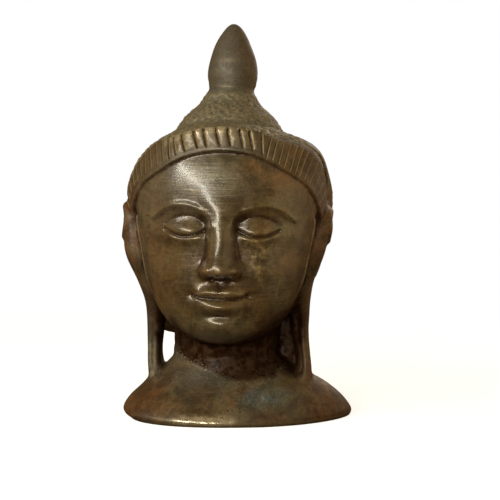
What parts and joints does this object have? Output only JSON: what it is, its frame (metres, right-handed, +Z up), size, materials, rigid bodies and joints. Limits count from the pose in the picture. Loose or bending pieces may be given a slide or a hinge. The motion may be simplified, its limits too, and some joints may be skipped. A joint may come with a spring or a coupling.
{
  "type": "bronze buddha head",
  "caption": "Small cast bronze head of the Buddha: bud finial on a stippled topknot, fluted hair band, long pierced ear lobes, flared boat-shaped foot.",
  "frame": {"origin": "on the flat underside of the foot, below the head's own upright axis", "axes": "+Z up through the finial, the face looks to -Y, +X to the right of a viewer who faces it"},
  "size_m": [0.072, 0.0681, 0.12],
  "materials": {
    "bronze": "dark brown patina, rubbed to a satin shine on the high places"
  },
  "bodies": {
    "root": {"buddha_head": "bronze"}
  },
  "joints": []
}
